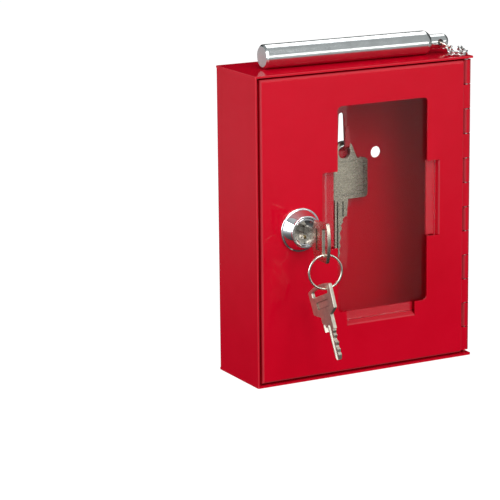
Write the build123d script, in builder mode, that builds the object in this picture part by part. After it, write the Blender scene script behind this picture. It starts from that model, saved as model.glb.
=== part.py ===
from build123d import *
import math
import os

os.makedirs("parts", exist_ok=True)

# ---------------------------------------------------------------- driving dimensions, mm
# Frame: origin at the centre of the case's underside, +Z up, front of the door faces -Y.
box_w = 120.0            # case width, X
box_d = 40.0             # case depth, Y
box_h = 150.0            # case height, Z
sheet = 1.0              # sheet steel
half_w = box_w / 2
half_d = box_d / 2

# wall screw holes and lanced hook in the back
screw_x = 28.0
screw_z = 99.4
screw_r = 2.9
hook_x = 8.2
hook_slot_z0 = 101.6
hook_slot_z1 = 121.0
hook_leg_y = 13.3
hook_tip_z = 115.0

# hinge
pin_x = 57.7
pin_y = -16.8
pin_r = 1.05
knuckle_in = 1.10
knuckle_out = 2.2
hinge_z0 = 2.4
hinge_z1 = 148.4
knuckles = 12
knuckle_gap = 0.5
leaf_t = 0.9

# door
door_x0 = -57.6
door_x1 = 54.6
door_z0 = 1.9
door_z1 = 148.1
door_return = 12.9       # depth of the folded returns, so that the left one meets the keeper
win_x0, win_x1 = -16.2, 34.1
win_z0, win_z1 = 31.5, 132.1
win_r = 2.5
side_tab_z0, side_tab_z1 = 63.4, 100.8
left_tab_x = -24.5
right_tab_x = 41.2
low_tab_x0, low_tab_x1 = -11.2, 27.4
low_tab_z = 24.5
tab_front = 2.08         # how far the tabs are joggled back, face to face with the pane
pane_t = 2.0
pane_x0, pane_x1 = -21.7, 39.3
pane_z0, pane_z1 = 26.9, 137.0

# cam lock
lock_x = -36.8
lock_z = 75.0
head_y = -26.4           # front of the bezel's lip
flange_r = 10.6
cone_r0, cone_r1 = 7.4, 9.6
head_r = 7.8
shank_r = 8.0
shank_flat = 7.0
shank_end_y = -6.0
bore_r = 6.05
plug_r = 6.0
plug_face_y = -25.85
plug_seat_y = -24.4
dish_r, dish = 5.7, 0.9  # polished hollow of the plug's face
plug_end_y = -5.8
cam_len = 20.4
cam_y0, cam_y1 = -5.0, -3.2

# flat keys of the lock
key_t = 1.8
bow_w = 19.2
bow_end_l, bow_end_r = 1.8, 1.3   # set-back of the arched end's two corners
bow_neck, bow_l = 12.9, 15.2      # sides end, shank begins
slot_w = 12.9
slot_v0, slot_v1 = 1.7, 5.1
shank_u0, shank_u1 = -3.6, 4.7
shank_v1 = 21.9
rib_v0, rib_v1 = 18.4, 22.4
blade_u0, blade_u1 = 0.3, 3.9
key_l = 36.4
key_axis_u = 1.6         # where the lock's axis meets the key, off the bow's centre

# key ring
ring_r = 8.1
ring_wire = 0.55
ring_turn = 10.0         # degrees about Z, out of the door's plane
ring_v = 3.95            # where the ring crosses the bow's opening

# striker
rod_r = 5.8
rod_x0 = -46.9
rod_x1 = 43.9
rod_y = -3.2
rod_turn = -1.2          # degrees about Z: the rod lies slightly askew
rod_z = box_h + 0.1 + rod_r
neck_r = 3.6
neck_x1 = 54.4
eye_x = 48.8
eye_r = 1.6
link_wire = 0.38
link_rc = 1.15
link_s = 1.6
link_pitch = 2.86

# chain anchor: wire eye riveted to the right wall
eye_y = 7.0
eye_z = 96.0
loop_r = 1.5
loop_wire = 0.45
loop_x = half_w + 0.75 + loop_r

# ================================================================ case
# hook tongue, lanced out of the back and bent forward and up
with BuildPart() as tongue:
    with BuildSketch(Plane.YZ.offset(hook_x)):
        with BuildLine():
            FilletPolyline((19.5, 100.0), (19.5, 102.5), (hook_leg_y, 105.2), (hook_leg_y, hook_tip_z), radius=1.5)
        trace(line_width=sheet)
    extrude(amount=2.0, both=True)
    with BuildSketch(Plane.XZ.offset(-half_d)):
        with BuildLine():
            Polyline((hook_x - 1.7, 99.0), (hook_x + 1.7, 99.0), (hook_x + 1.15, hook_tip_z - 0.6), (hook_x - 1.15, hook_tip_z - 0.6), close=True)
        make_face()
        with Locations((hook_x, hook_tip_z - 0.65)):
            Circle(1.15)
    extrude(amount=12, mode=Mode.INTERSECT)

with BuildPart() as case_wrap:
    # plan of the wrap: left wall, back, right wall
    with BuildSketch(Plane.XY.offset(sheet)) as plan:
        Rectangle(box_w, box_d)
        with Locations((0, -sheet / 2)):
            Rectangle(box_w - 2 * sheet, box_d - sheet, mode=Mode.SUBTRACT)
        with Locations((half_w - sheet / 2, -half_d + 2.65)):
            Rectangle(sheet * 1.2, 5.3, mode=Mode.SUBTRACT)
        fillet(plan.vertices().filter_by(lambda v: abs(v.Y - half_d) < 0.01), 1.5)
        fillet(plan.vertices().filter_by(lambda v: abs(v.Y - half_d + sheet) < 0.01 and abs(abs(v.X) - half_w + sheet) < 0.01), 0.5)
    extrude(amount=box_h - 2 * sheet)
    # rounded raw edge of the left wall beside the door
    fillet(case_wrap.edges().filter_by(Axis.Z).filter_by(lambda e: abs(e.center().Y + half_d) < 0.01), 0.35)
    # wall screw holes
    with BuildSketch(Plane.XZ.offset(-half_d - 1)):
        with Locations((-screw_x, screw_z), (screw_x, screw_z)):
            Circle(screw_r)
    extrude(amount=3, mode=Mode.SUBTRACT)
    # slot left by the tongue
    with BuildSketch(Plane.XZ.offset(-half_d - 1)):
        with BuildLine():
            Polyline((hook_x - 2.1, hook_slot_z0), (hook_x + 2.1, hook_slot_z0), (hook_x + 1.4, hook_slot_z1 - 1.4), (hook_x - 1.4, hook_slot_z1 - 1.4), close=True)
        make_face()
        with Locations((hook_x, hook_slot_z1 - 1.4)):
            Circle(1.4)
    extrude(amount=3, mode=Mode.SUBTRACT)
    # hole for the chain anchor's rivet
    with BuildSketch(Plane.YZ.offset(half_w - 2)):
        with Locations((eye_y, eye_z)):
            Circle(1.5)
    extrude(amount=4, mode=Mode.SUBTRACT)
    add(tongue.part)
case_wrap.part.label = "case_wrap"
export_step(case_wrap.part, "parts/case_wrap.step")

# lid and floor plates, each with three weld tabs folded inside the wrap
with BuildPart() as top_plate:
    with BuildSketch(Plane.XY.offset(box_h - sheet)):
        RectangleRounded(box_w, box_d, 0.8)
    extrude(amount=sheet)
    with BuildSketch(Plane.XY.offset(box_h - sheet - 8)):
        with Locations((-half_w + 1.5 * sheet, 6)):
            Rectangle(sheet, 14)
        with Locations((half_w - 1.5 * sheet, 6)):
            Rectangle(sheet, 14)
        with Locations((-34, half_d - 1.5 * sheet), (34, half_d - 1.5 * sheet)):
            Rectangle(16, sheet)
    extrude(amount=8)
    chamfer(top_plate.edges().group_by(Axis.Z)[-1], 0.2)
top_plate.part.label = "top_plate"
export_step(top_plate.part, "parts/top_plate.step")

with BuildPart() as bottom_plate:
    with BuildSketch(Plane.XY):
        RectangleRounded(box_w, box_d, 0.8)
    extrude(amount=sheet)
    with BuildSketch(Plane.XY.offset(sheet)):
        with Locations((-half_w + 1.5 * sheet, 6)):
            Rectangle(sheet, 14)
        with Locations((half_w - 1.5 * sheet, 6)):
            Rectangle(sheet, 14)
        with Locations((-34, half_d - 1.5 * sheet), (34, half_d - 1.5 * sheet)):
            Rectangle(16, sheet)
    extrude(amount=8)
bottom_plate.part.label = "bottom_plate"
export_step(bottom_plate.part, "parts/bottom_plate.step")

# keeper angle welded to the left wall: the cam turns behind its leg, the door's return stops on its front
with BuildPart() as latch_keeper:
    with BuildSketch(Plane.XY.offset(lock_z - 17)):
        with BuildLine():
            Polyline((-half_w + sheet, -6.6), (-48.0, -6.6), (-48.0, -5.6), (-half_w + 2 * sheet, -5.6), (-half_w + 2 * sheet, 5.0), (-half_w + sheet, 5.0), close=True)
        make_face()
    extrude(amount=34)
    fillet(latch_keeper.edges().filter_by(Axis.Y).filter_by(lambda e: e.center().X > -50), 3.0)
latch_keeper.part.label = "latch_keeper"
export_step(latch_keeper.part, "parts/latch_keeper.step")

# rolled hinge: the leaves share twelve knuckles along one pin, case leaf at the top
pitch = (hinge_z1 - hinge_z0) / knuckles
case_k = [i for i in range(knuckles) if (knuckles - 1 - i) % 2 == 0]
door_k = [i for i in range(knuckles) if (knuckles - 1 - i) % 2 == 1]

with BuildPart() as hinge_leaf_case:
    # flat leaf against the inside of the right wall
    with BuildSketch(Plane.XY.offset(hinge_z0)):
        with Locations((half_w - sheet - leaf_t / 2, -9.15)):
            Rectangle(leaf_t, 10.3)
    extrude(amount=hinge_z1 - hinge_z0)
    for i in case_k:
        with BuildSketch(Plane.XY.offset(hinge_z0 + i * pitch + knuckle_gap / 2)):
            with Locations((pin_x, pin_y)):
                Circle(knuckle_out)
            with Locations((half_w - sheet - leaf_t / 2, (pin_y - 14.0) / 2)):
                Rectangle(leaf_t, abs(pin_y + 14.0))
            with Locations((pin_x, pin_y)):
                Circle(knuckle_in, mode=Mode.SUBTRACT)
        extrude(amount=pitch - knuckle_gap)
hinge_leaf_case.part.label = "hinge_leaf_case"
export_step(hinge_leaf_case.part, "parts/hinge_leaf_case.step")

with BuildPart() as hinge_leaf_door:
    # flat leaf behind the door's face
    with BuildSketch(Plane.XY.offset(door_z0 + 1.1)):
        with Locations((door_x1 - 0.1 - 5.4, -19.0 + leaf_t / 2)):
            Rectangle(10.8, leaf_t)
    extrude(amount=door_z1 - door_z0 - 2.2)
    for i in door_k:
        with BuildSketch(Plane.XY.offset(hinge_z0 + i * pitch + knuckle_gap / 2)):
            with Locations((pin_x, pin_y)):
                Circle(knuckle_out)
            with Locations(((door_x1 - 0.2 + pin_x) / 2, -19.0 + leaf_t / 2)):
                Rectangle(pin_x - door_x1 + 0.2, leaf_t)
            with Locations((pin_x, pin_y)):
                Circle(knuckle_in, mode=Mode.SUBTRACT)
        extrude(amount=pitch - knuckle_gap)
hinge_leaf_door.part.label = "hinge_leaf_door"
export_step(hinge_leaf_door.part, "parts/hinge_leaf_door.step")

with BuildPart() as hinge_pin:
    with BuildSketch(Plane.XY.offset(hinge_z0 - 0.2)):
        with Locations((pin_x, pin_y)):
            Circle(pin_r)
    extrude(amount=hinge_z1 - hinge_z0 + 0.4)
    chamfer(hinge_pin.edges().group_by(Axis.Z)[0], 0.2)
    chamfer(hinge_pin.edges().group_by(Axis.Z)[-1], 0.2)
hinge_pin.part.label = "hinge_pin"
export_step(hinge_pin.part, "parts/hinge_pin.step")

# ================================================================ door
with BuildPart() as door_panel:
    # folded tray: face and left, top and bottom returns, open at the hinge side
    with BuildSketch(Plane.XZ.offset(half_d)):
        with Locations(((door_x0 + door_x1) / 2, (door_z0 + door_z1) / 2)):
            Rectangle(door_x1 - door_x0, door_z1 - door_z0)
    extrude(amount=-door_return)
    fillet(
        door_panel.edges().filter_by(lambda e: abs(e.center().Y + half_d) < 0.01 and e.center().X < door_x1 - 1),
        1.3,
    )
    with BuildSketch(Plane.XZ.offset(half_d - sheet)):
        with Locations(((door_x0 + sheet + door_x1 + 5) / 2, (door_z0 + door_z1) / 2)):
            Rectangle(door_x1 + 5 - door_x0 - sheet, door_z1 - door_z0 - 2 * sheet)
    extrude(amount=-door_return, mode=Mode.SUBTRACT)
    # the top and bottom returns stop short of the hinge
    with BuildSketch(Plane.XZ.offset(half_d - sheet)):
        with Locations((door_x1 + 1.5, (door_z0 + door_z1) / 2)):
            Rectangle(6.0, door_z1 - door_z0 + 2)
    extrude(amount=-door_return, mode=Mode.SUBTRACT)
    # rounded raw edge beside the hinge
    fillet(
        door_panel.edges().filter_by(Axis.Z).filter_by(lambda e: abs(e.center().X - door_x1) < 0.01 and abs(e.center().Y + half_d) < 0.01),
        0.6,
    )
    # window with the three notches that the tabs were lanced from
    with BuildSketch(Plane.XZ.offset(half_d + 1)):
        with Locations(((win_x0 + win_x1) / 2, (win_z0 + win_z1) / 2)):
            RectangleRounded(win_x1 - win_x0, win_z1 - win_z0, win_r)
        with Locations(((left_tab_x + win_x0 + 2) / 2, (side_tab_z0 + side_tab_z1) / 2)):
            Rectangle(win_x0 + 2 - left_tab_x, side_tab_z1 - side_tab_z0)
        with Locations(((right_tab_x + win_x1 - 2) / 2, (side_tab_z0 + side_tab_z1) / 2)):
            Rectangle(right_tab_x - win_x1 + 2, side_tab_z1 - side_tab_z0)
        with Locations(((low_tab_x0 + low_tab_x1) / 2, (low_tab_z + win_z0 + 2) / 2)):
            Rectangle(low_tab_x1 - low_tab_x0, win_z0 + 2 - low_tab_z)
        # double-D hole of the lock
        with Locations((lock_x, lock_z)):
            Circle(shank_r + 0.15)
    extrude(amount=-2.2, mode=Mode.SUBTRACT)
    # flats of the double-D hole
    with BuildSketch(Plane.XZ.offset(half_d)):
        with Locations((lock_x - shank_flat - 0.65, lock_z), (lock_x + shank_flat + 0.65, lock_z)):
            Rectangle(1.0, 8.4)
    extrude(amount=-sheet)
    # joggled tabs: seen in plan for the side ones, in profile for the low one
    tab_y = -half_d + sheet / 2            # mid-plane of the face
    seat_y = -half_d + sheet + tab_front + sheet / 2
    with BuildSketch(Plane.XY.offset(side_tab_z0 + 0.3)):
        with BuildLine():
            FilletPolyline((left_tab_x - 0.6, tab_y), (left_tab_x + 0.1, tab_y), (left_tab_x + 1.5, seat_y), (win_x0 - 0.8, seat_y), radius=0.6)
        trace(line_width=sheet)
    extrude(amount=side_tab_z1 - side_tab_z0 - 0.6)
    with BuildSketch(Plane.XY.offset(side_tab_z0 + 0.3)):
        with BuildLine():
            FilletPolyline((right_tab_x + 0.6, tab_y), (right_tab_x - 0.05, tab_y), (right_tab_x - 0.9, seat_y), (win_x1 + 0.8, seat_y), radius=0.6)
        trace(line_width=sheet)
    extrude(amount=side_tab_z1 - side_tab_z0 - 0.6)
    with BuildSketch(Plane.YZ.offset(low_tab_x0 + 0.3)):
        with BuildLine():
            FilletPolyline((tab_y, low_tab_z - 0.6), (tab_y, low_tab_z + 0.1), (seat_y, low_tab_z + 1.5), (seat_y, win_z0 - 0.6), radius=0.6)
        trace(line_width=sheet)
    extrude(amount=low_tab_x1 - low_tab_x0 - 0.6)
door_panel.part.label = "door_panel"
export_step(door_panel.part, "parts/door_panel.step")

with BuildPart() as glass_pane:
    with BuildSketch(Plane.XZ.offset(half_d - sheet)):
        with Locations(((pane_x0 + pane_x1) / 2, (pane_z0 + pane_z1) / 2)):
            Rectangle(pane_x1 - pane_x0, pane_z1 - pane_z0)
    extrude(amount=-pane_t)
    chamfer(glass_pane.edges().filter_by(lambda e: abs(e.center().Y + 18) > 0.9), 0.2)
glass_pane.part.label = "glass_pane"
export_step(glass_pane.part, "parts/glass_pane.step")

# ================================================================ cam lock
# the lock's own axis runs along Y; sketches for its turned parts are half profiles in a plane through that axis
lock_profile = Plane(origin=(lock_x, 0, lock_z), x_dir=(1, 0, 0), z_dir=(0, 0, 1))
lock_axis = Axis((lock_x, 0, lock_z), (0, 1, 0))

with BuildPart() as lock_body:
    # flange, conical skirt, undercut and rounded lip
    with BuildSketch(lock_profile):
        with BuildLine():
            Line((bore_r, shank_end_y), (bore_r, plug_seat_y + 0.05))
            Line((bore_r, plug_seat_y + 0.05), (6.5, plug_seat_y + 0.05))
            Line((6.5, plug_seat_y + 0.05), (6.5, head_y + 0.45))
            Line((6.5, head_y + 0.45), (6.85, head_y))
            Line((6.85, head_y), (head_r - 0.35, head_y))
            ThreePointArc((head_r - 0.35, head_y), (head_r - 0.1, head_y + 0.1), (head_r, head_y + 0.35))
            Line((head_r, head_y + 0.35), (head_r, head_y + 0.75))
            Line((head_r, head_y + 0.75), (cone_r0, head_y + 0.95))
            Line((cone_r0, head_y + 0.95), (cone_r1, -21.4))
            ThreePointArc((cone_r1, -21.4), (cone_r1 + 0.19, -21.14), (cone_r1 + 0.5, -21.0))
            ThreePointArc((cone_r1 + 0.5, -21.0), (flange_r - 0.13, -20.85), (flange_r, -20.5))
            Line((flange_r, -20.5), (flange_r, -half_d))
            Line((flange_r, -half_d), (shank_r, -half_d))
            Line((shank_r, -half_d), (shank_r, shank_end_y))
            Line((shank_r, shank_end_y), (bore_r, shank_end_y))
        make_face()
    revolve(axis=lock_axis)
    # flats on the shank
    with BuildSketch(Plane.XZ.offset(half_d)):
        with Locations((lock_x - shank_flat - 2, lock_z), (lock_x + shank_flat + 2, lock_z)):
            Rectangle(4, 20)
    extrude(amount=-20, mode=Mode.SUBTRACT)
lock_body.part.label = "lock_body"
export_step(lock_body.part, "parts/lock_body.step")

with BuildPart() as lock_washer:
    with BuildSketch(Plane.XZ.offset(half_d - sheet)):
        with Locations((lock_x, lock_z)):
            Circle(11.2)
            Circle(shank_r + 0.2, mode=Mode.SUBTRACT)
            with PolarLocations(11.2, 16):
                Circle(0.7, mode=Mode.SUBTRACT)
    extrude(amount=-0.8)
lock_washer.part.label = "lock_washer"
export_step(lock_washer.part, "parts/lock_washer.step")

with BuildPart() as lock_nut:
    with BuildSketch(Plane.XZ.offset(half_d - sheet - 0.8)):
        with Locations((lock_x, lock_z)):
            RegularPolygon(radius=11.0, side_count=6, major_radius=False)
            Circle(shank_r + 0.05, mode=Mode.SUBTRACT)
    extrude(amount=-3.5)
    # chamfered corners of the hexagon
    with BuildSketch(lock_profile):
        with BuildLine():
            Polyline((0, -18.2), (11.6, -18.2), (12.8, -17.6), (12.8, -15.3), (11.6, -14.7), (0, -14.7), close=True)
        make_face()
    revolve(axis=lock_axis, mode=Mode.INTERSECT)
lock_nut.part.label = "lock_nut"
export_step(lock_nut.part, "parts/lock_nut.step")

# wafers stand in five slots of the plug
wafer_y = [-23.2 + 2.5 * i for i in range(5)]

with BuildPart() as lock_plug:
    with BuildSketch(lock_profile):
        with BuildLine():
            ThreePointArc((0, plug_face_y + dish), (dish_r / 2, plug_face_y + dish * 0.76), (dish_r, plug_face_y))
            Polyline(
                (dish_r, plug_face_y), (6.2, plug_face_y), (6.45, plug_face_y + 0.25), (6.45, plug_seat_y),
                (plug_r, plug_seat_y), (plug_r, plug_end_y), (0, plug_end_y), (0, plug_face_y + dish),
            )
        make_face()
    revolve(axis=lock_axis)
    # square tail for the cam
    with BuildSketch(Plane.XZ.offset(-plug_end_y)):
        with Locations((lock_x, lock_z)):
            Rectangle(7.0, 7.0)
    extrude(amount=-2.4)
    # keyway
    with BuildSketch(Plane.XZ.offset(-plug_face_y)):
        with Locations((lock_x, lock_z - key_axis_u + (shank_u0 + blade_u1) / 2)):
            Rectangle(key_t + 0.2, blade_u1 - shank_u0 + 0.4)
    extrude(amount=-(key_l - shank_v1 + 0.3), mode=Mode.SUBTRACT)
    # wafer slots
    for y in wafer_y:
        with BuildSketch(Plane.XZ.offset(-y)):
            with Locations((lock_x, lock_z)):
                Rectangle(7.4, 9.9)
            with Locations((lock_x + 4.0, lock_z)):
                Rectangle(1.8, 5.6)
        extrude(amount=-1.1, mode=Mode.SUBTRACT)
    # tapped hole of the cam screw
    with BuildSketch(Plane.XZ.offset(-plug_end_y - 2.4)):
        with Locations((lock_x, lock_z)):
            Circle(2.05)
    extrude(amount=7.4, mode=Mode.SUBTRACT)
lock_plug.part.label = "lock_plug"
export_step(lock_plug.part, "parts/lock_plug.step")

with BuildPart() as lock_wafers:
    for y in wafer_y:
        with BuildSketch(Plane.XZ.offset(-y - 0.05)):
            with Locations((lock_x, lock_z)):
                Rectangle(7.1, 9.6)
            with Locations((lock_x + 4.0, lock_z + 1.9)):
                Rectangle(1.5, 1.0)
            with Locations((lock_x, lock_z - key_axis_u + (blade_u0 + blade_u1) / 2)):
                Rectangle(key_t + 0.7, blade_u1 - blade_u0 + 0.8, mode=Mode.SUBTRACT)
        extrude(amount=-1.0)
lock_wafers.part.label = "lock_wafers"
export_step(lock_wafers.part, "parts/lock_wafers.step")

with BuildPart() as wafer_springs:
    for y in wafer_y:
        with BuildLine(mode=Mode.PRIVATE) as coil:
            Helix(pitch=0.75, height=3.0, radius=0.3, center=(lock_x + 4.2, y + 0.55, lock_z - 2.2), direction=(0, 0, 1))
        with BuildSketch(Plane(origin=coil.line @ 0, z_dir=coil.line % 0), mode=Mode.PRIVATE) as wire:
            RegularPolygon(radius=0.12, side_count=8)
        sweep(wire.sketch, path=coil.line, is_frenet=True)
wafer_springs.part.label = "wafer_springs"
export_step(wafer_springs.part, "parts/wafer_springs.step")

with BuildPart() as stop_washer:
    with BuildSketch(Plane.XZ.offset(-plug_end_y)):
        with Locations((lock_x, lock_z)):
            Circle(7.6)
            with Locations((0, 7.6)):
                Rectangle(4, 3)
            Rectangle(7.1, 7.1, mode=Mode.SUBTRACT)
    extrude(amount=-0.8)
stop_washer.part.label = "stop_washer"
export_step(stop_washer.part, "parts/stop_washer.step")

with BuildPart() as lock_cam:
    with BuildSketch(Plane.XZ.offset(-cam_y0)):
        with Locations((lock_x, lock_z)):
            Circle(7.5)
        with BuildLine():
            Polyline((lock_x - 7.4, lock_z), (lock_x - 5.0, lock_z - cam_len), (lock_x + 5.0, lock_z - cam_len), (lock_x + 7.4, lock_z), close=True)
        make_face()
        with Locations((lock_x, lock_z)):
            Rectangle(7.1, 7.1, mode=Mode.SUBTRACT)
    extrude(amount=cam_y0 - cam_y1)
    fillet(lock_cam.edges().filter_by(Axis.Y).group_by(Axis.Z)[0], 2.0)
lock_cam.part.label = "lock_cam"
export_step(lock_cam.part, "parts/lock_cam.step")

with BuildPart() as cam_washer:
    with BuildSketch(Plane.XZ.offset(-cam_y1)):
        with Locations((lock_x, lock_z)):
            Circle(5.6)
            Circle(2.2, mode=Mode.SUBTRACT)
    extrude(amount=-0.8)
cam_washer.part.label = "cam_washer"
export_step(cam_washer.part, "parts/cam_washer.step")

with BuildPart() as cam_screw:
    with BuildSketch(Plane.XZ.offset(-cam_y1 - 0.8)):
        with Locations((lock_x, lock_z)):
            Circle(3.9)
    extrude(amount=-2.4)
    fillet(cam_screw.edges().filter_by(GeomType.CIRCLE).group_by(Axis.Y)[-1], 1.2)
    with BuildSketch(Plane.XZ.offset(-cam_y1 - 0.8)):
        with Locations((lock_x, lock_z)):
            Circle(2.0)
    extrude(amount=8.0)
    # cross recess
    with BuildSketch(Plane.XZ.offset(-0.2)):
        with Locations((lock_x, lock_z)):
            Rectangle(4.2, 0.9)
            Rectangle(0.9, 4.2)
    extrude(amount=1.4, mode=Mode.SUBTRACT)
cam_screw.part.label = "cam_screw"
export_step(cam_screw.part, "parts/cam_screw.step")

# ================================================================ keys of the lock
# key blank laid flat: X across the bow, Y from the bow's outer end to the tip, Z its thickness
with BuildPart() as key_blank:
    with BuildSketch():
        with BuildLine():
            ThreePointArc((-bow_w / 2, bow_end_l), (0, 0), (bow_w / 2, bow_end_r))
            Polyline(
                (bow_w / 2, bow_end_r), (bow_w / 2 - 0.4, bow_neck), (shank_u1, bow_l), (shank_u1, shank_v1), (blade_u1, shank_v1),
                # cuts along one edge of the blade
                (3.9, key_l - 13.6), (3.2, key_l - 12.6), (3.7, key_l - 11.3), (2.6, key_l - 10.1), (2.6, key_l - 9.3),
                (3.8, key_l - 7.8), (2.9, key_l - 6.6), (2.8, key_l - 5.9), (3.7, key_l - 4.6), (3.1, key_l - 3.4), (3.6, key_l - 2.0),
                (2.5, key_l), (1.1, key_l), (blade_u0, key_l - 1.4),
                # notch, guide rib and shank on the plain side
                (blade_u0, shank_v1 - 1.6), (-1.6, shank_v1 - 1.6), (-1.6, rib_v1), (-3.0, rib_v1), (-3.4, rib_v1 - 0.6), (-3.4, rib_v0 + 0.5),
                (-3.0, rib_v0 + 0.2), (-3.0, rib_v0 - 0.2), (shank_u0, rib_v0 - 0.5), (shank_u0, bow_l),
                (-bow_w / 2 + 0.4, bow_neck), (-bow_w / 2, bow_end_l),
            )
        make_face()
    extrude(amount=key_t)
    fillet(key_blank.edges().filter_by(Axis.Z).filter_by(lambda e: abs(e.center().X) > bow_w / 2 - 0.5), 0.7)
    chamfer(
        key_blank.edges().filter_by(lambda e: e.center().Y < bow_l - 0.5 and (e.center().Z < 0.01 or e.center().Z > key_t - 0.01)),
        0.25,
    )
    # opening, its outer side arched like the bow's end
    with BuildSketch() as opening:
        with BuildLine():
            ThreePointArc((-slot_w / 2, slot_v0 + 0.9), (0, slot_v0), (slot_w / 2, slot_v0 + 0.6))
            Polyline((slot_w / 2, slot_v0 + 0.6), (slot_w / 2, slot_v1), (-slot_w / 2, slot_v1), (-slot_w / 2, slot_v0 + 0.9))
        make_face()
        fillet(opening.vertices(), 0.6)
    extrude(amount=key_t, mode=Mode.SUBTRACT)
    # coined rim of the opening, on both faces
    slot_mid = (slot_v0 + slot_v1) / 2
    chamfer(
        key_blank.edges().filter_by(
            lambda e: abs(e.center().X) < slot_w / 2 + 0.01 and abs(e.center().Y - slot_mid) < (slot_v1 - slot_v0) / 2 + 0.01
            and abs(e.center().Z - key_t / 2) > key_t / 2 - 0.01
        ),
        0.3,
    )
    # stamped recess on both faces of the bow
    with BuildSketch(Plane.XY.offset(key_t)):
        with Locations((0.6, 9.5)):
            RectangleRounded(10.2, 3.6, 0.4)
    extrude(amount=-0.45, mode=Mode.SUBTRACT)
    with BuildSketch(Plane.XY):
        with Locations((0.6, 9.5)):
            RectangleRounded(10.2, 3.6, 0.4)
    extrude(amount=0.45, mode=Mode.SUBTRACT)
    # grooves along the blade: one with a slanted side, one square
    with BuildSketch(Plane.XZ.offset(-shank_v1 + 2.4)):
        Polygon((0.75, -0.05), (1.65, 0.85), (2.25, 0.85), (2.25, -0.05), align=None)
        Polygon((1.0, key_t + 0.05), (1.0, key_t - 0.45), (1.5, key_t - 0.45), (1.5, key_t + 0.05), align=None)
    extrude(amount=-(key_l - shank_v1 + 3.0), mode=Mode.SUBTRACT)
    # guide rib, bevelled along its inner side
    with BuildSketch(Plane.XZ.offset(-rib_v0 - 0.3)):
        Polygon((-2.9, -0.05), (-1.5, -0.05), (-1.5, 1.25), align=None)
    extrude(amount=-(rib_v1 - rib_v0 + 0.2), mode=Mode.SUBTRACT)

# key in the lock: its plane stands upright and square to the door, the bow's outer end to the front
key_y0 = plug_face_y - 0.1 - shank_v1
bow_z = lock_z - key_axis_u
with BuildPart() as lock_key:
    add(key_blank.part.moved(Plane(origin=(lock_x + key_t / 2, key_y0, bow_z), x_dir=(0, 0, 1), z_dir=(-1, 0, 0)).location))
lock_key.part.label = "lock_key"
export_step(lock_key.part, "parts/lock_key.step")

# key ring hanging in the bow's opening
slot_low = bow_z - slot_w / 2
ring_y = key_y0 + ring_v
ring_c = (lock_x, ring_y, slot_low + 0.17 + ring_wire - ring_r)
ra = math.radians(ring_turn)
with BuildPart() as key_ring:
    with BuildSketch(Plane(origin=ring_c, x_dir=(math.cos(ra), -math.sin(ra), 0), z_dir=(0, 0, 1))):
        with Locations((ring_r, 0)):
            Circle(ring_wire)
    revolve(axis=Axis(ring_c, (math.sin(ra), math.cos(ra), 0)))
key_ring.part.label = "key_ring"
export_step(key_ring.part, "parts/key_ring.step")

# spare key: the wire lies in the corner of its opening, so it hangs tilted to the front
hang_dx = 0.6
hang = Vector(
    lock_x + hang_dx * math.cos(ra), ring_y - hang_dx * math.sin(ra), ring_c[2] - math.sqrt(ring_r ** 2 - hang_dx ** 2)
)
tilt = math.radians(24.0)
yaw = math.radians(5.0)
u_flat = Vector(math.sin(yaw), -math.cos(yaw), 0)
u_dir = u_flat * math.cos(tilt) + Vector(0, 0, math.sin(tilt))
v_dir = u_flat * math.sin(tilt) - Vector(0, 0, math.cos(tilt))
w_dir = u_dir.cross(v_dir)
wire_u, wire_v = slot_w / 2 - ring_wire - 0.4, slot_v0 + 0.6 + ring_wire + 0.15
corner = hang - u_dir * wire_u - v_dir * wire_v - w_dir * (key_t / 2)
with BuildPart() as spare_key:
    add(key_blank.part.moved(Plane(origin=corner, x_dir=u_dir, z_dir=w_dir).location))
spare_key.part.label = "spare_key"
export_step(spare_key.part, "parts/spare_key.step")

# ================================================================ key stored on the hook
store_x = 8.0
store_y0, store_y1 = 15.6, 17.8
store_hole_z = 102.0
store_hole_r = 3.4
with BuildPart() as stored_key:
    with BuildSketch(Plane.XZ.offset(-store_y1)):
        with Locations((store_x, 88.25)):
            RectangleRounded(26.4, 20.0, 2.0)
        with Locations((store_x, store_hole_z)):
            Circle(5.3)
        with BuildLine():
            Polyline((store_x - 5.15, store_hole_z + 0.8), (store_x + 5.15, store_hole_z + 0.8), (store_x + 7.6, 98.0), (store_x - 7.6, 98.0), close=True)
        make_face()
        # blade, wide at the shoulder, with its cuts along one edge
        with BuildLine():
            Polyline(
                (2.6, 79.0), (2.6, 50.4), (3.6, 49.0), (4.6, 49.2), (5.5, 51.0), (4.9, 53.0), (5.8, 54.6), (5.1, 57.0),
                (6.0, 58.8), (5.2, 61.5), (6.5, 63.5), (5.9, 65.3), (7.1, 66.6), (7.1, 68.6), (8.4, 69.6), (9.4, 69.6),
                (10.1, 79.0), close=True,
            )
        make_face()
        with Locations((store_x, store_hole_z)):
            Circle(store_hole_r, mode=Mode.SUBTRACT)
    extrude(amount=store_y1 - store_y0)
    # raised middle panel of the bow
    with BuildSketch(Plane.XZ.offset(-store_y0)):
        with Locations((store_x, 89.0)):
            RectangleRounded(11.8, 16.0, 0.6)
    extrude(amount=0.25)
    # stamped rim lines
    with BuildSketch(Plane.XZ.offset(-store_y0 + 0.3)):
        with Locations((store_x, 80.2)):
            Rectangle(24.0, 0.35)
        with Locations((store_x - 10.9, 88.25), (store_x + 10.9, 88.25)):
            Rectangle(0.4, 15.7)
    extrude(amount=-0.5, mode=Mode.SUBTRACT)
    # groove along the blade
    with BuildSketch(Plane.XZ.offset(-store_y0 + 0.3)):
        with Locations((4.0, 63.0)):
            Rectangle(0.9, 29.0)
        with Locations((7.1, 73.5)):
            Rectangle(0.7, 7.6)
    extrude(amount=-0.9, mode=Mode.SUBTRACT)
stored_key.part.label = "stored_key"
export_step(stored_key.part, "parts/stored_key.step")

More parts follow.
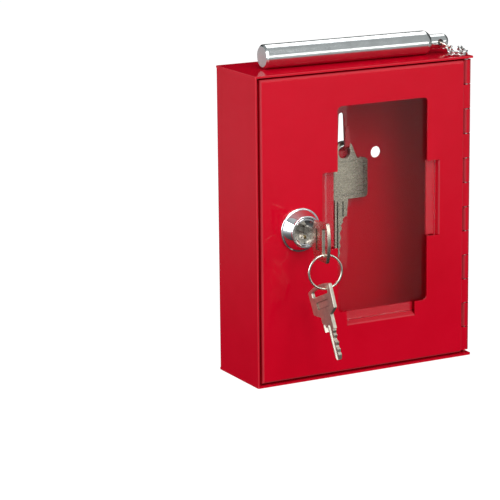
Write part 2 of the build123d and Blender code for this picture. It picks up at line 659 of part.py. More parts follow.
# ================================================================ striker
rt = math.radians(rod_turn)
rod_dir = Vector(math.cos(rt), math.sin(rt), 0)
rod_side = Vector(-math.sin(rt), math.cos(rt), 0)
rod_o = Vector(0, rod_y, rod_z)
with BuildPart() as striker_rod:
    with BuildSketch(Plane(origin=rod_o, x_dir=rod_dir, z_dir=(0, 0, 1))):
        with BuildLine():
            Line((rod_x0, 0), (rod_x0, rod_r - 0.9))
            Line((rod_x0, rod_r - 0.9), (rod_x0 + 0.9, rod_r))
            Line((rod_x0 + 0.9, rod_r), (rod_x1 - 3.0, rod_r))
            ThreePointArc((rod_x1 - 3.0, rod_r), (rod_x1 - 1.2, rod_r - 0.75), (rod_x1, neck_r))
            Line((rod_x1, neck_r), (neck_x1 - 2.5, neck_r))
            ThreePointArc((neck_x1 - 2.5, neck_r), (neck_x1 - 0.75, neck_r - 0.95), (neck_x1, neck_r - 2.7))
            Line((neck_x1, neck_r - 2.7), (neck_x1, 0))
            Line((neck_x1, 0), (rod_x0, 0))
        make_face()
    revolve(axis=Axis(rod_o, rod_dir))
    with BuildSketch(Plane(origin=rod_o + rod_dir * eye_x, x_dir=rod_dir, z_dir=rod_side)):
        Circle(eye_r)
    extrude(amount=8, both=True, mode=Mode.SUBTRACT)
striker_rod.part.label = "striker_rod"
export_step(striker_rod.part, "parts/striker_rod.step")

# ring through the neck, dropped onto the plate round the neck's end
sring_r, sring_wire = 5.0, 0.45
drop = math.radians(32.0)
ring_dir = rod_dir * math.cos(drop) - Vector(0, 0, math.sin(drop))
eye = rod_o + rod_dir * eye_x
sring_c = eye + ring_dir * (sring_r - 0.8)
sring_n = ring_dir.cross(rod_side)
with BuildPart() as striker_ring:
    with BuildSketch(Plane(origin=sring_c, x_dir=ring_dir, z_dir=ring_dir.cross(sring_n))):
        with Locations((sring_r, 0)):
            Circle(sring_wire)
    revolve(axis=Axis(sring_c, sring_n))
striker_ring.part.label = "striker_ring"
export_step(striker_ring.part, "parts/striker_ring.step")

# wire eye riveted to the right wall
with BuildPart() as chain_anchor:
    with BuildSketch(Plane(origin=(half_w - sheet - 0.9, eye_y, eye_z), x_dir=(0, 1, 0), z_dir=(1, 0, 0))):
        Circle(2.9)
    extrude(amount=0.9)
    with BuildSketch(Plane(origin=(half_w - sheet, eye_y, eye_z), x_dir=(0, 1, 0), z_dir=(1, 0, 0))):
        Circle(1.45)
    extrude(amount=sheet)
    with BuildSketch(Plane(origin=(half_w, eye_y, eye_z), x_dir=(0, 1, 0), z_dir=(1, 0, 0))):
        Circle(2.6)
    extrude(amount=0.9)
    with BuildSketch(Plane(origin=(loop_x, eye_y, eye_z), x_dir=(1, 0, 0), z_dir=(0, 0, 1))):
        with Locations((loop_r, 0)):
            Circle(loop_wire)
    revolve(axis=Axis((loop_x, eye_y, eye_z), (0, 1, 0)))
chain_anchor.part.label = "chain_anchor"
export_step(chain_anchor.part, "parts/chain_anchor.step")

# ---- chain: joints at equal pitch along a smooth route over the lid, the lid's edge and the wall
def lerp(a, b, t):
    return a + (b - a) * t


def route_samples(points, steps=40):
    """Points along a centripetal-free Catmull-Rom curve through the given points."""
    out = []
    for i in range(len(points) - 1):
        p0 = points[max(i - 1, 0)]
        p1, p2 = points[i], points[i + 1]
        p3 = points[min(i + 2, len(points) - 1)]
        for k in range(steps):
            t = k / steps
            out.append(
                (p1 * 2 + (p2 - p0) * t + (p0 * 2 - p1 * 5 + p2 * 4 - p3) * t * t + (p1 * 3 - p0 - p2 * 3 + p3) * t * t * t) * 0.5
            )
    out.append(points[-1])
    return out


psi = math.radians(78.0)
grip = sring_c + ring_dir * (sring_r * math.cos(psi)) - rod_side * (sring_r * math.sin(psi))
grip_tangent = (ring_dir * math.sin(psi) + rod_side * math.cos(psi)).normalized()
start_dir = Vector(-0.62, -0.70, -0.34).normalized()
link_hold = link_s / 2 + link_rc - link_pitch / 2   # how far a link reaches past its joint
plate_z = box_h + 1.36
wall_x = half_w + 1.57
turn_c, turn_r = (54.4, -13.5), 4.35
loop_c, loop_turn = ((eye_y - 4.0) / 2, 58.5), (eye_y + 4.0) / 2
chain_points = [grip - start_dir * link_hold, grip + start_dir * 2.2]
chain_points += [
    Vector(turn_c[0] + turn_r * math.cos(math.radians(q)), turn_c[1] + turn_r * math.sin(math.radians(q)), plate_z)
    for q in (188, 215, 245, 275, 305, 335)
]
chain_points += [
    Vector(58.75, -12.4, plate_z),
    Vector(59.0, -9.9, plate_z + 0.35),
    Vector(59.75, -7.53, plate_z + 0.92),
    Vector(61.16, -5.85, plate_z + 0.61),
    Vector(62.46, -4.9, 150.1),
    Vector(63.0, -4.4, 147.5),
    Vector(62.85, -4.1, 144.9),
    Vector(62.35, -4.0, 142.0),
    Vector(wall_x + 0.25, -4.0, 138.5),
    Vector(wall_x, -4.0, 134.0),
    Vector(wall_x, -4.0, 120.0),
    Vector(wall_x, -4.0, 90.0),
    Vector(wall_x, -4.0, 64.0),
]
chain_points += [
    Vector(wall_x, loop_c[0] - loop_turn * math.cos(math.radians(q)), loop_c[1] - loop_turn * math.sin(math.radians(q)))
    for q in (0, 30, 60, 90, 120, 150, 180)
]
chain_points += [
    Vector(wall_x + 0.1, eye_y, 64.0),
    Vector(wall_x + 0.5, eye_y, 80.0),
    Vector(loop_x, eye_y, eye_z - loop_r - 3.0),
    Vector(loop_x, eye_y, eye_z - loop_r + link_hold),
]
samples = route_samples(chain_points)


def chain_joints(pitch_len):
    joints = [samples[0]]
    i = 1
    while True:
        while i < len(samples) and (samples[i] - joints[-1]).length < pitch_len:
            i += 1
        if i >= len(samples):
            return joints
        a, b = samples[i - 1], samples[i]
        lo, hi = 0.0, 1.0
        for _ in range(30):
            mid = (lo + hi) / 2
            if (a + (b - a) * mid - joints[-1]).length < pitch_len:
                lo = mid
            else:
                hi = mid
        joints.append(a + (b - a) * hi)


# the pitch is eased until the last joint meets the anchor's eye
count = len(chain_joints(link_pitch))
lo_p, hi_p = link_pitch - 0.12, link_pitch
for _ in range(40):
    mid_p = (lo_p + hi_p) / 2
    if len(chain_joints(mid_p)) > count:
        lo_p = mid_p
    else:
        hi_p = mid_p
joints = chain_joints(lo_p)
if len(joints) > count + 1:
    joints = joints[: count + 1]
links = len(joints) - 1
link_planes = []
n = grip_tangent
for i in range(links):
    a, b = joints[i], joints[i + 1]
    d = (b - a).normalized()
    # each link stands square to the one before it
    n = (n - d * n.dot(d)).normalized()
    if i > 0:
        n = d.cross(n)
    # outward direction of the surface the link lies on
    mid = (a + b) * 0.5
    f = max(0.0, min(1.0, (mid.X - 58.5) / 3.0 + max(0.0, 150.0 - mid.Z)))
    out = Vector(0, 0, 1) * (1 - f) + Vector(1, 0, 0) * f
    out = (out - d * out.dot(d)).normalized()
    side = d.cross(out)
    roll = math.degrees(math.atan2(n.dot(side), n.dot(out)))
    # eased towards a 45 degree lean, and square to the eye's wire at the end
    left = links - 1 - i
    if left < 18:
        wanted, period = (90.0 if left % 2 else 0.0), 180.0
    else:
        wanted, period = 45.0, 90.0
    turn = (wanted - roll + period / 2) % period - period / 2
    limit = 0.0 if 58.5 < mid.X and mid.Z > 143.0 else 6.0
    turn = math.radians(max(-limit, min(limit, turn)) if i else 0.0)
    n = n * math.cos(turn) + d.cross(n) * math.sin(turn)
    link_planes.append(Plane(origin=mid, x_dir=d, z_dir=n))

with BuildPart() as one_link:
    with BuildLine() as link_path:
        Line((-link_s / 2, link_rc), (link_s / 2, link_rc))
        ThreePointArc((link_s / 2, link_rc), (link_s / 2 + link_rc, 0), (link_s / 2, -link_rc))
        Line((link_s / 2, -link_rc), (-link_s / 2, -link_rc))
        ThreePointArc((-link_s / 2, -link_rc), (-link_s / 2 - link_rc, 0), (-link_s / 2, link_rc))
    with BuildSketch(Plane(origin=(-link_s / 2, link_rc, 0), z_dir=(1, 0, 0))):
        Circle(link_wire)
    sweep()

with BuildPart() as striker_chain:
    for plane in link_planes:
        add(one_link.part.moved(plane.location))
striker_chain.part.label = "striker_chain"
export_step(striker_chain.part, "parts/striker_chain.step")
print("chain links", links, "pitch", round(lo_p, 3), "length", round(links * lo_p, 1))
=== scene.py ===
import bpy
import bmesh
import math
import numpy as np
from mathutils import Matrix, Vector


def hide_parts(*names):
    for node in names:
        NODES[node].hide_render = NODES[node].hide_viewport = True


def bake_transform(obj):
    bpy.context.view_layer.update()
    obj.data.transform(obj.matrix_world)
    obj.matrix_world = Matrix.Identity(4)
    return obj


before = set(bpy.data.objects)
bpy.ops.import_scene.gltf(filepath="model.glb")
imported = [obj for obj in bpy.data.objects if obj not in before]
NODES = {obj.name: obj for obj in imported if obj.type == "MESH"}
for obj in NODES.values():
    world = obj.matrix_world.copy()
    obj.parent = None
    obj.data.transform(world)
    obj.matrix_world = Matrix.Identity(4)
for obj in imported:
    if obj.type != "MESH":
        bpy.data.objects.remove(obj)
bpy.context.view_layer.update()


scene = bpy.context.scene


# ------------------------------------------------------------------ node helpers
def new_mat(name):
    m = bpy.data.materials.new(name)
    m.use_nodes = True
    nt = m.node_tree
    for n in list(nt.nodes):
        nt.nodes.remove(n)
    out = nt.nodes.new("ShaderNodeOutputMaterial")
    bsdf = nt.nodes.new("ShaderNodeBsdfPrincipled")
    nt.links.new(bsdf.outputs["BSDF"], out.inputs["Surface"])
    return m, nt, bsdf, out


def coords(nt, scale=(1.0, 1.0, 1.0), rot=(0.0, 0.0, 0.0)):
    tc = nt.nodes.new("ShaderNodeTexCoord")
    mp = nt.nodes.new("ShaderNodeMapping")
    mp.inputs["Scale"].default_value = scale
    mp.inputs["Rotation"].default_value = rot
    nt.links.new(tc.outputs["Object"], mp.inputs["Vector"])
    return mp.outputs["Vector"]


def noise(nt, vec, scale, detail=2.0, rough=0.5):
    n = nt.nodes.new("ShaderNodeTexNoise")
    n.inputs["Scale"].default_value = scale
    n.inputs["Detail"].default_value = detail
    n.inputs["Roughness"].default_value = rough
    nt.links.new(vec, n.inputs["Vector"])
    return n.outputs["Fac"]


def ramp(nt, fac, stops):
    r = nt.nodes.new("ShaderNodeValToRGB")
    e = r.color_ramp.elements
    e[0].position, e[0].color = stops[0][0], stops[0][1]
    e[1].position, e[1].color = stops[-1][0], stops[-1][1]
    for p, c in stops[1:-1]:
        q = e.new(p)
        q.color = c
    nt.links.new(fac, r.inputs["Fac"])
    return r.outputs["Color"]


def remap(nt, fac, a, b, c, d):
    m = nt.nodes.new("ShaderNodeMapRange")
    m.inputs["From Min"].default_value = a
    m.inputs["From Max"].default_value = b
    m.inputs["To Min"].default_value = c
    m.inputs["To Max"].default_value = d
    nt.links.new(fac, m.inputs["Value"])
    return m.outputs["Result"]


def bump(nt, bsdf, height, strength, distance, under=None):
    b = nt.nodes.new("ShaderNodeBump")
    b.inputs["Strength"].default_value = strength
    b.inputs["Distance"].default_value = distance
    nt.links.new(height, b.inputs["Height"])
    if under is not None:
        nt.links.new(under, b.inputs["Normal"])
    if bsdf is not None:
        nt.links.new(b.outputs["Normal"], bsdf.inputs["Normal"])
    return b.outputs["Normal"]


def mix_color(nt, fac, a, b):
    m = nt.nodes.new("ShaderNodeMix")
    m.data_type = "RGBA"
    ca = [s for s in m.inputs if s.name == "A" and s.type == "RGBA"][0]
    cb = [s for s in m.inputs if s.name == "B" and s.type == "RGBA"][0]
    for sock, v in ((ca, a), (cb, b)):
        if isinstance(v, tuple):
            sock.default_value = v
        else:
            nt.links.new(v, sock)
    nt.links.new(fac, m.inputs["Factor"])
    return [s for s in m.outputs if s.type == "RGBA"][0]


def math_node(nt, op, a, b=None):
    m = nt.nodes.new("ShaderNodeMath")
    m.operation = op
    for i, v in enumerate((a, b)):
        if v is None:
            continue
        if isinstance(v, (int, float)):
            m.inputs[i].default_value = v
        else:
            nt.links.new(v, m.inputs[i])
    return m.outputs["Value"]


def edge_mask(nt, radius, lo, hi):
    """1 on outer edges (rubbed edges on the metals, a painted highlight on the enamel), 0 on faces, from the bevelled
    normal against the true one.
    """
    bev = nt.nodes.new("ShaderNodeBevel")
    bev.samples = 6
    bev.inputs["Radius"].default_value = radius
    geo = nt.nodes.new("ShaderNodeNewGeometry")
    dot = nt.nodes.new("ShaderNodeVectorMath")
    dot.operation = "DOT_PRODUCT"
    nt.links.new(bev.outputs["Normal"], dot.inputs[0])
    nt.links.new(geo.outputs["True Normal"], dot.inputs[1])
    return remap(nt, dot.outputs["Value"], hi, lo, 0.0, 1.0)


def bend_mask(nt, lo, hi):
    """0 on the flat faces of the folded sheet, 1 in the middle of its bends, from how far the normal leans between two axes."""
    tc = nt.nodes.new("ShaderNodeTexCoord")
    sep = nt.nodes.new("ShaderNodeSeparateXYZ")
    nt.links.new(tc.outputs["Normal"], sep.inputs["Vector"])
    x, y, z = (math_node(nt, "ABSOLUTE", sep.outputs[k]) for k in ("X", "Y", "Z"))
    lean = math_node(nt, "MAXIMUM", math_node(nt, "MAXIMUM", math_node(nt, "MULTIPLY", x, y), math_node(nt, "MULTIPLY", y, z)),
                     math_node(nt, "MULTIPLY", x, z))
    return remap(nt, lean, lo, hi, 0.0, 1.0)


def inside_mask(nt):
    """1 on the surfaces inside the folded case, 0 outside."""
    tc = nt.nodes.new("ShaderNodeTexCoord")
    sep = nt.nodes.new("ShaderNodeSeparateXYZ")
    nt.links.new(tc.outputs["Object"], sep.inputs["Vector"])
    side = math_node(nt, "LESS_THAN", math_node(nt, "ABSOLUTE", sep.outputs["X"]), 0.0595)
    back = math_node(nt, "LESS_THAN", sep.outputs["Y"], 0.0195)
    front = math_node(nt, "GREATER_THAN", sep.outputs["Y"], -0.0190)
    return math_node(nt, "MULTIPLY", math_node(nt, "MULTIPLY", side, back), front)


# ------------------------------------------------------------------ materials
def red_paint(name, deep=(0.600, 0.0010, 0.0150, 1), light=(0.650, 0.0018, 0.0190, 1), rough_lo=0.06, rough_hi=0.11, inside_shaded_colour=None):
    """Glossy stove enamel: slow shade changes, a painted highlight lightening the outer edges, painted highlight and
    shade in the bends, hairline rub marks, faint orange peel; optionally a painted-shade copy of the colour on the
    surfaces inside the case.
    """
    m, nt, b, _ = new_mat(name)
    v = coords(nt)
    cloud = noise(nt, v, 30.0, 3.0, 0.6)
    col = ramp(nt, cloud, [(0.30, deep), (0.72, light)])
    rim = edge_mask(nt, 0.0006, 0.86, 0.985)
    # painted highlight: the outer edges are mixed towards a lighter red
    col = mix_color(nt, math_node(nt, "MULTIPLY", rim, 0.30), col, (0.82, 0.020, 0.036, 1))
    # painted highlight and shade: the bends are mixed towards a darker, pinker red
    col = mix_color(nt, math_node(nt, "MULTIPLY", bend_mask(nt, 0.22, 0.46), 0.50), col, (0.46, 0.075, 0.088, 1))
    # painted shade: the surfaces inside the case take their own shaded copy of the paint colour
    if inside_shaded_colour is not None:
        col = mix_color(nt, math_node(nt, "MULTIPLY", inside_mask(nt), 0.85), col, inside_shaded_colour)
    nt.links.new(col, b.inputs["Base Color"])
    hair = noise(nt, coords(nt, scale=(900.0, 900.0, 60.0), rot=(0.15, 0.4, 0.2)), 1.0, 2.0, 0.55)
    smudge = noise(nt, v, 64.0, 2.0, 0.5)
    both = math_node(nt, "MULTIPLY", remap(nt, hair, 0.35, 0.75, 0.85, 1.25), remap(nt, smudge, 0.3, 0.75, rough_lo, rough_hi))
    if inside_shaded_colour is not None:
        both = math_node(nt, "MULTIPLY", both, remap(nt, inside_mask(nt), 0.0, 1.0, 1.0, 0.35))
    nt.links.new(both, b.inputs["Roughness"])
    peel = noise(nt, v, 520.0, 1.0, 0.3)
    first = bump(nt, None, peel, 0.030, 0.00010)
    wave = noise(nt, v, 60.0, 1.0, 0.3)
    bump(nt, b, wave, 0.030, 0.0006, first)
    b.inputs["Specular IOR Level"].default_value = 0.26
    return m


def metal(name, base, rough, spread, grain=None, dark=0.86, lite=1.05, scale=160.0, bump_h=0.00001, bump_s=0.3, worn=None, recess_shade=None, ripple=None):
    """Plated or bare metal. grain: stretched noise scale along each axis. worn: colour of rubbed edges. recess shade
    colour: painted shade darkening the recesses, from ambient occlusion.
    ripple: noise scale, strength and height of a slow waviness."""
    m, nt, b, _ = new_mat(name)
    b.inputs["Metallic"].default_value = 1.0
    v = coords(nt)
    cloud = noise(nt, v, scale, 3.0, 0.6)
    dk = tuple(c * dark for c in base[:3]) + (1,)
    lt = tuple(min(1.0, c * lite) for c in base[:3]) + (1,)
    col = ramp(nt, cloud, [(0.28, dk), (0.70, lt)])
    if worn is not None:
        rim = edge_mask(nt, 0.00025, 0.80, 0.98)
        col = mix_color(nt, math_node(nt, "MULTIPLY", rim, 0.6), col, worn)
    # painted shade: recesses are darkened towards the given colour by ambient occlusion
    if recess_shade is not None:
        ao = nt.nodes.new("ShaderNodeAmbientOcclusion")
        ao.samples = 8
        ao.only_local = True
        ao.inputs["Distance"].default_value = 0.0009
        col = mix_color(nt, remap(nt, ao.outputs["AO"], 0.55, 0.97, 0.85, 0.0), col, recess_shade)
    nt.links.new(col, b.inputs["Base Color"])
    gv = coords(nt, scale=grain or (1.0, 1.0, 1.0))
    g = noise(nt, gv, 1200.0 if grain is None else 1.0, 2.0, 0.6)
    nt.links.new(remap(nt, g, 0.25, 0.75, rough - spread, rough + spread), b.inputs["Roughness"])
    under = None
    if ripple is not None:
        under = bump(nt, None, noise(nt, v, ripple[0], 1.0, 0.4), ripple[1], ripple[2])
    bump(nt, b, g, bump_s, bump_h, under)
    return m


M_RED = red_paint("red_enamel")
M_RED_CASE = red_paint("red_enamel_case", inside_shaded_colour=(0.63, 0.0012, 0.014, 1))
# painted shade: a darker copy of the enamel for the latch keeper, which sits in the shade inside the case
M_RED_SHADED = red_paint("red_enamel_inside_shaded", (0.48, 0.0010, 0.012, 1), (0.54, 0.0016, 0.014, 1), 0.05, 0.09)
M_CHROME = metal("bright_chrome", (0.90, 0.92, 0.94, 1), 0.025, 0.010, dark=0.94, lite=1.02, bump_h=0.000002, bump_s=0.08)
M_CHROME_FACE = metal("chrome_face", (0.84, 0.85, 0.86, 1), 0.025, 0.010, dark=0.9, bump_h=0.000002, bump_s=0.06, ripple=(260.0, 0.7, 0.0007))
M_ZINC = metal("bright_zinc", (0.60, 0.61, 0.62, 1), 0.28, 0.08)
M_BRASS = metal("wafer_brass", (0.78, 0.58, 0.28, 1), 0.28, 0.08)
M_KEY = metal("nickel_key", (0.74, 0.69, 0.58, 1), 0.42, 0.08, grain=(900.0, 900.0, 2400.0), dark=0.80, lite=1.06, scale=420.0,
              bump_h=0.000006, bump_s=0.25, worn=(0.92, 0.89, 0.79, 1), recess_shade=(0.20, 0.13, 0.10, 1))
M_KEY_LOCK = metal("nickel_key_lock", (0.66, 0.60, 0.50, 1), 0.27, 0.06, grain=(900.0, 900.0, 2400.0), dark=0.82, lite=1.06, scale=420.0,
                   bump_h=0.000003, bump_s=0.15, worn=(0.94, 0.90, 0.79, 1), recess_shade=(0.18, 0.10, 0.08, 1))
# painted shade: a darker copy of the key metal for the key in the shade inside the case
M_STORED_SHADED = metal("nickel_key_stored_shaded", (0.265, 0.232, 0.185, 1), 0.27, 0.03, grain=(700.0, 700.0, 1500.0), dark=0.90, lite=1.06, scale=140.0,
                 bump_h=0.000001, bump_s=0.05, worn=(0.56, 0.52, 0.44, 1), recess_shade=(0.06, 0.05, 0.04, 1))
M_RING = metal("ring_wire", (0.90, 0.85, 0.74, 1), 0.22, 0.05, worn=(0.94, 0.90, 0.81, 1))
M_CHAIN = metal("chain_wire", (0.74, 0.75, 0.73, 1), 0.20, 0.05)
M_ROD = metal("turned_steel", (0.70, 0.735, 0.73, 1), 0.17, 0.06, grain=(60.0, 2600.0, 2600.0), dark=0.88, lite=1.03,
              bump_h=0.000004, bump_s=0.22, worn=(0.88, 0.90, 0.89, 1))


def coarse_ends(m, rough):
    """Coarser finish on the faces square to the rod."""
    nt = m.node_tree
    bsdf = [n for n in nt.nodes if n.type == "BSDF_PRINCIPLED"][0]
    old = bsdf.inputs["Roughness"].links[0].from_socket
    tc = nt.nodes.new("ShaderNodeTexCoord")
    sep = nt.nodes.new("ShaderNodeSeparateXYZ")
    nt.links.new(tc.outputs["Normal"], sep.inputs["Vector"])
    end = math_node(nt, "GREATER_THAN", math_node(nt, "ABSOLUTE", sep.outputs["X"]), 0.9)
    nt.links.new(math_node(nt, "MAXIMUM", math_node(nt, "MULTIPLY", end, rough), old), bsdf.inputs["Roughness"])


coarse_ends(M_ROD, 0.68)


def glass():
    m, nt, b, out = new_mat("clear_glass")
    b.inputs["Base Color"].default_value = (0.965, 0.99, 0.98, 1)
    b.inputs["Transmission Weight"].default_value = 1.0
    b.inputs["IOR"].default_value = 1.22
    v = coords(nt)
    smear = noise(nt, v, 55.0, 4.0, 0.65)
    nt.links.new(remap(nt, smear, 0.45, 0.8, 0.0, 0.02), b.inputs["Roughness"])
    clear = nt.nodes.new("ShaderNodeBsdfTransparent")
    clear.inputs["Color"].default_value = (0.95, 0.98, 0.965, 1)
    path = nt.nodes.new("ShaderNodeLightPath")
    mix = nt.nodes.new("ShaderNodeMixShader")
    nt.links.new(path.outputs["Is Shadow Ray"], mix.inputs["Fac"])
    nt.links.new(b.outputs["BSDF"], mix.inputs[1])
    nt.links.new(clear.outputs["BSDF"], mix.inputs[2])
    # light scattered by what is behind the pane passes straight through it too
    mix2 = nt.nodes.new("ShaderNodeMixShader")
    nt.links.new(path.outputs["Is Diffuse Ray"], mix2.inputs["Fac"])
    nt.links.new(mix.outputs["Shader"], mix2.inputs[1])
    nt.links.new(clear.outputs["BSDF"], mix2.inputs[2])
    nt.links.new(mix2.outputs["Shader"], out.inputs["Surface"])
    return m


M_GLASS = glass()

LOOK = {
    "case_wrap": M_RED_CASE, "top_plate": M_RED, "bottom_plate": M_RED, "latch_keeper": M_RED_SHADED,
    "hinge_leaf_case": M_RED, "hinge_leaf_door": M_RED, "hinge_pin": M_ZINC, "chain_anchor": M_ZINC,
    "door_panel": M_RED, "glass_pane": M_GLASS, "lock_body": M_CHROME, "lock_washer": M_ZINC,
    "lock_nut": M_ZINC, "lock_plug": M_CHROME_FACE, "lock_wafers": M_BRASS, "wafer_springs": M_ZINC,
    "stop_washer": M_ZINC, "lock_cam": M_ZINC, "cam_washer": M_ZINC, "cam_screw": M_ZINC,
    "lock_key": M_KEY_LOCK, "key_ring": M_RING, "spare_key": M_KEY, "stored_key": M_STORED_SHADED,
    "striker_rod": M_ROD, "striker_ring": M_RING,
}
for n, m in LOOK.items():
    me = NODES[n].data
    me.materials.clear()
    me.materials.append(m)


# ------------------------------------------------------------------ chain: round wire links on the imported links
def chain_piece(node):
    src = NODES[node].data
    bm = bmesh.new()
    bm.from_mesh(src)
    bmesh.ops.remove_doubles(bm, verts=bm.verts, dist=1e-6)
    seen, islands = set(), []
    for v in bm.verts:
        if v in seen:
            continue
        stack, group = [v], []
        seen.add(v)
        while stack:
            w = stack.pop()
            group.append(w.co.copy())
            for e in w.link_edges:
                o = e.other_vert(w)
                if o not in seen:
                    seen.add(o)
                    stack.append(o)
        islands.append(np.array([list(c) for c in group]))
    bm.free()
    wire, rc, s = 0.00038, 0.00115, 0.0016
    n_path, n_sec = 36, 12
    verts, faces = [], []
    for pts in islands:
        lo = (pts.max(0) + pts.min(0)) / 2
        c = pts.mean(0)
        u, sv, vt = np.linalg.svd(pts - c, full_matrices=False)
        d, side = vt[0], vt[1]
        nrm = np.cross(d, side)
        # centre from the extent along each own axis, which uneven vertices do not shift
        q = (pts - c) @ np.array([d, side, nrm]).T
        c = c + (q.max(0) + q.min(0)) / 2 @ np.array([d, side, nrm])
        base = len(verts)
        per = 2 * s + 2 * math.pi * rc
        for i in range(n_path):
            t = per * i / n_path
            if t < s:
                p, rad = (-s / 2 + t, rc), (0.0, 1.0)
            elif t < s + math.pi * rc:
                a = math.pi / 2 - (t - s) / rc
                p, rad = (s / 2 + rc * math.cos(a), rc * math.sin(a)), (math.cos(a), math.sin(a))
            elif t < 2 * s + math.pi * rc:
                p, rad = (s / 2 - (t - s - math.pi * rc), -rc), (0.0, -1.0)
            else:
                a = -math.pi / 2 - (t - 2 * s - math.pi * rc) / rc
                p, rad = (-s / 2 + rc * math.cos(a), rc * math.sin(a)), (math.cos(a), math.sin(a))
            for k in range(n_sec):
                b = 2 * math.pi * k / n_sec
                x = p[0] + rad[0] * wire * math.cos(b)
                y = p[1] + rad[1] * wire * math.cos(b)
                z = wire * math.sin(b)
                verts.append(tuple(c + d * x + side * y + nrm * z))
        for i in range(n_path):
            j = (i + 1) % n_path
            for k in range(n_sec):
                l = (k + 1) % n_sec
                faces.append((base + i * n_sec + k, base + i * n_sec + l, base + j * n_sec + l, base + j * n_sec + k))
    me = bpy.data.meshes.new("chain_links")
    me.from_pydata(verts, [], faces)
    me.update()
    fix = bmesh.new()
    fix.from_mesh(me)
    bmesh.ops.recalc_face_normals(fix, faces=fix.faces)
    fix.to_mesh(me)
    fix.free()
    for f in me.polygons:
        f.use_smooth = True
    ob = bpy.data.objects.new("chain_links", me)
    scene.collection.objects.link(ob)
    me.materials.append(M_CHAIN)
    return ob


chain = chain_piece("striker_chain")
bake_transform(chain)
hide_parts("striker_chain")


# ------------------------------------------------------------------ stage, light, camera
def floor_mat():
    m, nt, b, out = new_mat("pale_floor")
    v = coords(nt)
    n = noise(nt, v, 3.0, 2.0, 0.5)
    col = ramp(nt, n, [(0.3, (0.21, 0.21, 0.21, 1)), (0.7, (0.23, 0.23, 0.23, 1))])
    path = nt.nodes.new("ShaderNodeLightPath")
    far = nt.nodes.new("ShaderNodeVectorMath")
    far.operation = "LENGTH"
    nt.links.new(v, far.inputs[0])
    # painted shadow: seen in reflections, the floor is dark near the object and brighter farther away
    mirrored = ramp(nt, far.outputs["Value"], [(0.10, (0.03, 0.03, 0.03, 1)), (0.22, (0.10, 0.10, 0.10, 1)), (0.50, (0.34, 0.34, 0.345, 1)),
                                               (0.90, (0.44, 0.445, 0.45, 1))])
    col = mix_color(nt, path.outputs["Is Glossy Ray"], col, mirrored)
    nt.links.new(col, b.inputs["Base Color"])
    b.inputs["Roughness"].default_value = 0.8
    b.inputs["Specular IOR Level"].default_value = 0.1
    # lifted towards white where it is looked at directly, so that its bounce on the object stays moderate
    glow = nt.nodes.new("ShaderNodeEmission")
    glow.inputs["Color"].default_value = (1, 1, 1, 1)
    looked = math_node(nt, "MAXIMUM", path.outputs["Is Camera Ray"], path.outputs["Is Transmission Ray"])
    nt.links.new(math_node(nt, "MULTIPLY", looked, FLOOR_LIFT), glow.inputs["Strength"])
    add = nt.nodes.new("ShaderNodeAddShader")
    nt.links.new(b.outputs["BSDF"], add.inputs[0])
    nt.links.new(glow.outputs["Emission"], add.inputs[1])
    nt.links.new(add.outputs["Shader"], out.inputs["Surface"])
    return m


FLOOR_LIFT = 0.92


def build_floor():
    n, half = 28, 3.2
    verts = [(-half + 2 * half * i / n, -half + 2 * half * j / n, -0.0002) for i in range(n + 1) for j in range(n + 1)]
    k = n + 1
    faces = [(i * k + j, (i + 1) * k + j, (i + 1) * k + j + 1, i * k + j + 1) for i in range(n) for j in range(n)]
    me = bpy.data.meshes.new("floor")
    me.from_pydata(verts, [], faces)
    ob = bpy.data.objects.new("floor", me)
    scene.collection.objects.link(ob)
    me.materials.append(floor_mat())
    return ob


build_floor()


def build_world():
    """White where it is looked at; as a light, dim round the horizon and bright overhead."""
    world = bpy.data.worlds.new("world")
    scene.world = world
    world.use_nodes = True
    nt = world.node_tree
    bg = nt.nodes["Background"]
    tc = nt.nodes.new("ShaderNodeTexCoord")
    sep = nt.nodes.new("ShaderNodeSeparateXYZ")
    nt.links.new(tc.outputs["Generated"], sep.inputs["Vector"])
    sky = ramp(nt, sep.outputs["Z"], [(0.0, (0.006, 0.006, 0.006, 1)), (0.30, (0.002, 0.002, 0.002, 1)), (0.5, (0.12, 0.125, 0.125, 1)),
                                      (0.78, (0.42, 0.44, 0.45, 1)), (1.0, (0.50, 0.51, 0.52, 1))])
    # the studio's front half is lit grey, down to the floor
    front = remap(nt, sep.outputs["Y"], 0.10, -0.35, 0.0, 1.0)
    sky = mix_color(nt, front, sky, (0.46, 0.475, 0.48, 1))
    path = nt.nodes.new("ShaderNodeLightPath")
    looked = math_node(nt, "MAXIMUM", path.outputs["Is Camera Ray"], path.outputs["Is Transmission Ray"])
    nt.links.new(mix_color(nt, looked, sky, (1, 1, 1, 1)), bg.inputs["Color"])
    bg.inputs["Strength"].default_value = 1.0


build_world()


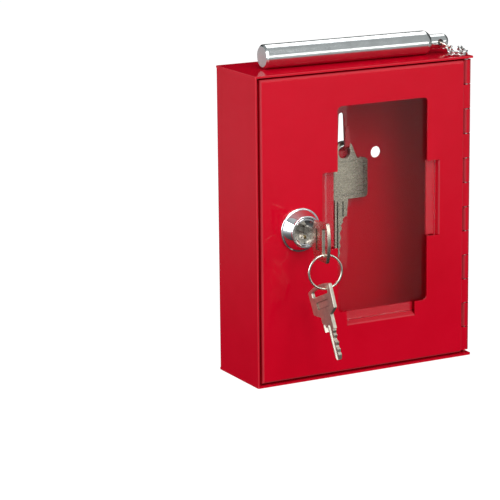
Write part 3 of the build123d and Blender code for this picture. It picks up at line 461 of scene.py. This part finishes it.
def area(name, loc, target, size, size_y, radiance, color=(1, 1, 1), along=None):
    l = bpy.data.lights.new(name, "AREA")
    l.shape = "RECTANGLE"
    l.size, l.size_y = size, size_y
    l.energy = radiance * math.pi * size * size_y
    l.color = color
    o = bpy.data.objects.new(name, l)
    scene.collection.objects.link(o)
    o.location = loc
    d = Vector(target) - Vector(loc)
    if along is None:
        o.rotation_euler = d.to_track_quat("-Z", "Y").to_euler()
    else:
        z = -d.normalized()
        y = (Vector(along) - z * z.dot(Vector(along))).normalized()
        o.rotation_euler = Matrix((y.cross(z), y, z)).transposed().to_euler()
    o.visible_camera = False
    return o


MID = (0.0, 0.0, 0.09)
area("left_softbox", (-1.19, -0.18, 0.45), MID, 1.0, 0.9, 3.4, (0.96, 0.985, 1.0))
area("front_softbox", (-0.02, -1.18, 0.58), MID, 0.6, 0.7, 3.1, (1.0, 0.995, 0.99))
area("upper_front_softbox", (-0.05, -0.88, 1.00), MID, 0.9, 0.75, 2.9, (1.0, 1.0, 1.0))
area("low_right_panel", (0.59, -1.13, 0.24), MID, 0.40, 0.28, 2.4, (1.0, 0.985, 0.95))
area("overhead_back_panel", (0.55, 0.47, 1.05), MID, 0.35, 0.90, 2.3, along=(0.0, 0.89, -0.45))

EL, AZ, ROLL = math.radians(13.36), math.radians(27.97), math.radians(-0.63)
T = np.array([0.0467, -0.0179, 1.1820])
BASE = np.array([[1, 0, 0], [0, 0, -1], [0, 1, 0]], float)


def rz(a):
    c, s = math.cos(a), math.sin(a)
    return np.array([[c, -s, 0], [s, c, 0], [0, 0, 1]])


def rx(a):
    c, s = math.cos(a), math.sin(a)
    return np.array([[1, 0, 0], [0, c, -s], [0, s, c]])


R = rz(ROLL) @ rx(EL) @ BASE @ rz(AZ)
center = np.array([0, 0, 0.075]) - R.T @ T
cam_data = bpy.data.cameras.new("camera")
cam_data.sensor_width = 36.0
cam_data.lens = 2429.5 / 500.0 * 36.0
cam_data.clip_start = 0.01
cam = bpy.data.objects.new("camera", cam_data)
scene.collection.objects.link(cam)
mw = Matrix.Identity(4)
for i in range(3):
    mw[i][0] = R[0][i]
    mw[i][1] = -R[1][i]
    mw[i][2] = -R[2][i]
    mw[i][3] = center[i]
cam.matrix_world = mw
scene.camera = cam

scene.view_settings.view_transform = "Standard"
scene.view_settings.look = "None"
scene.view_settings.exposure = 0.0
scene.view_settings.gamma = 1.0
